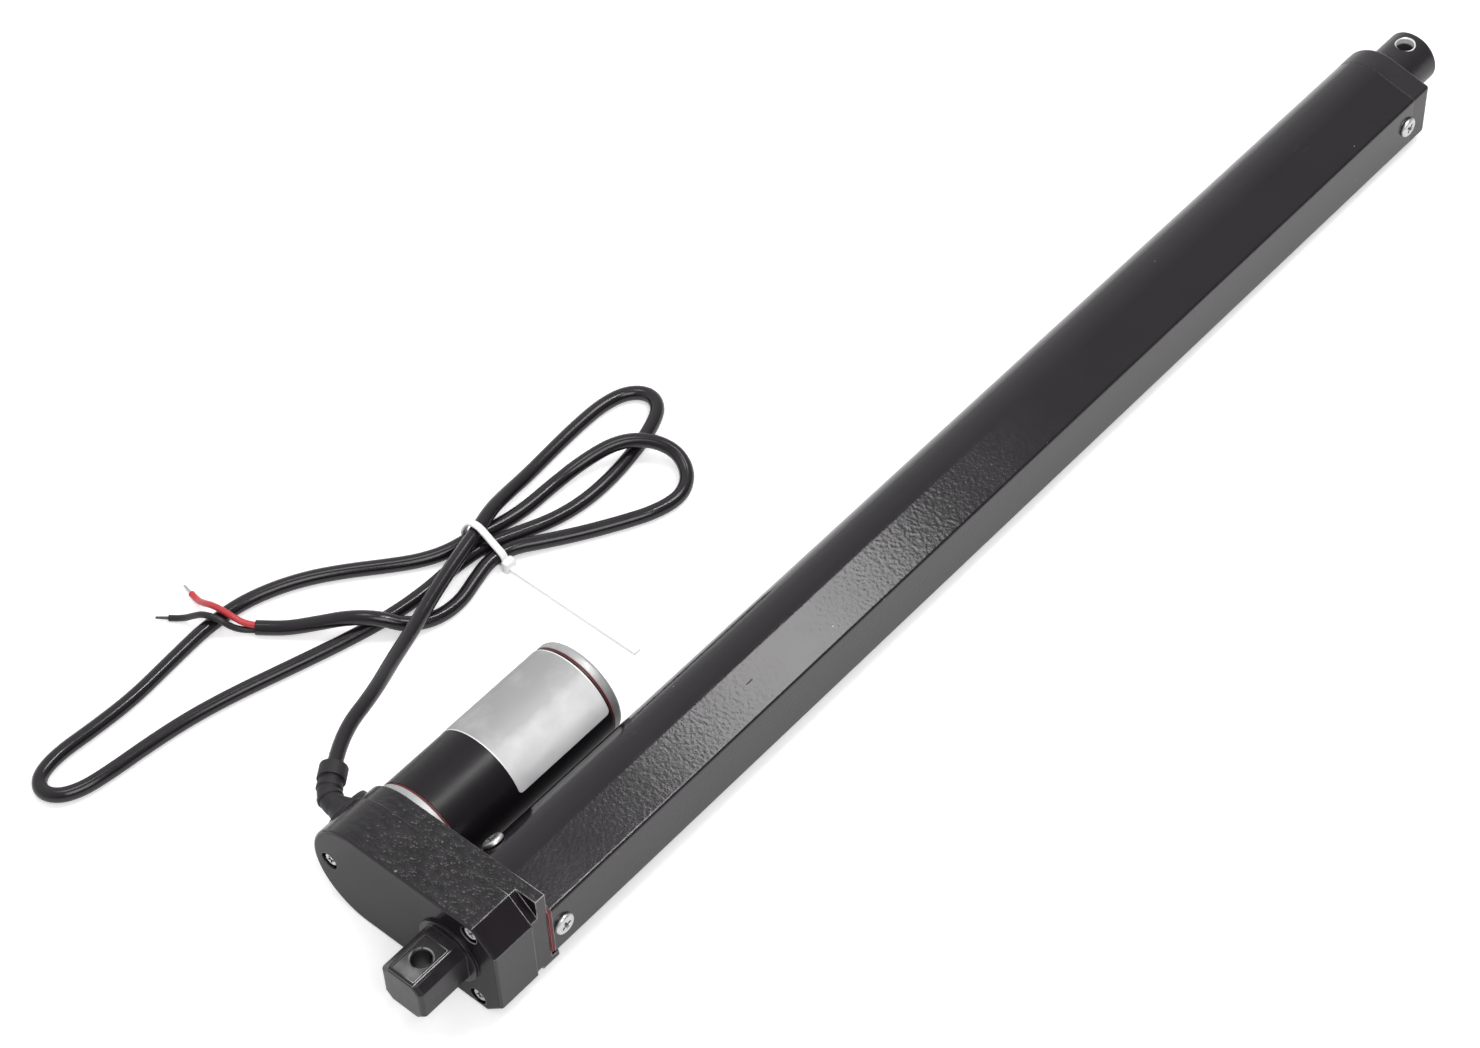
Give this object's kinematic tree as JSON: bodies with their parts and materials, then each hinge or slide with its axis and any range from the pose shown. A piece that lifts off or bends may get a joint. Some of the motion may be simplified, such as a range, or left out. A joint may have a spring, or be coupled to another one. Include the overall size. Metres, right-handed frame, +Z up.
{
  "type": "electric linear actuator",
  "caption": "Straight tube with a round rod that a parallel motor drives in and out through gears and a lead screw, with a pivot hole at each end and a corded lead.",
  "frame": {"origin": "middle of the rear pivot hole", "axes": "+X along the stroke towards the rod's end, +Y towards the motor, +Z up along the pivot holes"},
  "size_m": [0.5338, 0.1983, 0.04],
  "materials": {
    "black_coat": "textured black powder coat",
    "black_casting": "coarse black coat on a casting",
    "black_steel": "smooth black coat",
    "bright_steel": "bare turned steel",
    "dark_steel": "dull steel laminations",
    "plated_screw": "bright plated",
    "zinc_shell": "bright pressed shell",
    "red_gasket": "dull red sheet",
    "black_rubber": "satin moulded rubber",
    "bronze": "sintered bronze",
    "copper": "enamelled copper",
    "white_plastic": "moulded gear plastic",
    "dark_magnet": "sintered ferrite",
    "board_green": "circuit board",
    "switch_black": "moulded black",
    "brush_carbon": "pressed carbon",
    "cord_black": "smooth extruded sheath",
    "core_red": "smooth insulation",
    "core_black": "smooth insulation",
    "tie_clear": "milky nylon"
  },
  "bodies": {
    "housing": {"rear_clevis": "black_steel", "gearbox_cover": "black_casting", "gearbox_housing": "black_casting", "tube_gasket": "red_gasket", "outer_tube": "black_coat", "front_cap": "black_casting", "rod_bush": "bronze", "wiper_seal": "black_rubber", "bearing_outer_ring": "bright_steel", "bearing_balls": "bright_steel", "idler_pin": "bright_steel", "motor_rear_bell": "zinc_shell", "motor_front_cap": "zinc_shell", "motor_bushes": "bronze", "motor_sleeve": "black_steel", "motor_gaskets": "red_gasket", "motor_magnets": "dark_magnet", "brush_holder": "switch_black", "brushes": "brush_carbon", "switch_board": "board_green", "limit_switches": "switch_black", "cover_screws": "plated_screw", "tube_screws": "plated_screw", "motor_screws": "plated_screw", "strain_relief": "black_rubber", "cord": "cord_black", "red_core": "core_red", "black_core": "core_black", "wire_tips": "copper", "cable_tie": "tie_clear"},
    "rod": {"rod_tube": "black_steel", "rod_end": "black_steel", "drive_nut": "white_plastic"},
    "screw": {"lead_screw": "bright_steel", "screw_retainer": "bright_steel", "bearing_inner_ring": "bright_steel", "output_gear": "white_plastic"},
    "idler": {"idler_gear": "white_plastic"},
    "rotor": {"motor_shaft": "bright_steel", "motor_pinion": "bright_steel", "armature_core": "dark_steel", "armature_winding": "copper", "commutator": "copper"}
  },
  "joints": [
    {"name": "rod_slide", "type": "slide", "parent": "housing", "child": "rod", "axis": [1, 0, 0], "range_m": [0, 0.4]},
    {"name": "screw_spin", "type": "hinge", "parent": "housing", "child": "screw", "pos_m": [0, 0, 0], "axis": [-1, 0, 0], "range_deg": [0, 36000]},
    {"name": "idler_spin", "type": "hinge", "parent": "housing", "child": "idler", "pos_m": [0, 0.018, 0], "axis": [-1, 0, 0], "range_deg": [-72000, 0]},
    {"name": "rotor_spin", "type": "hinge", "parent": "housing", "child": "rotor", "pos_m": [0, 0.037, 0], "axis": [-1, 0, 0], "range_deg": [0, 156000]}
  ],
  "couplings": [
    {"joint": "screw_spin", "follows": "rod_slide", "rad_per_m": 1570.8},
    {"joint": "idler_spin", "follows": "rod_slide", "rad_per_m": -3141.6},
    {"joint": "rotor_spin", "follows": "rod_slide", "rad_per_m": 6806.8}
  ]
}
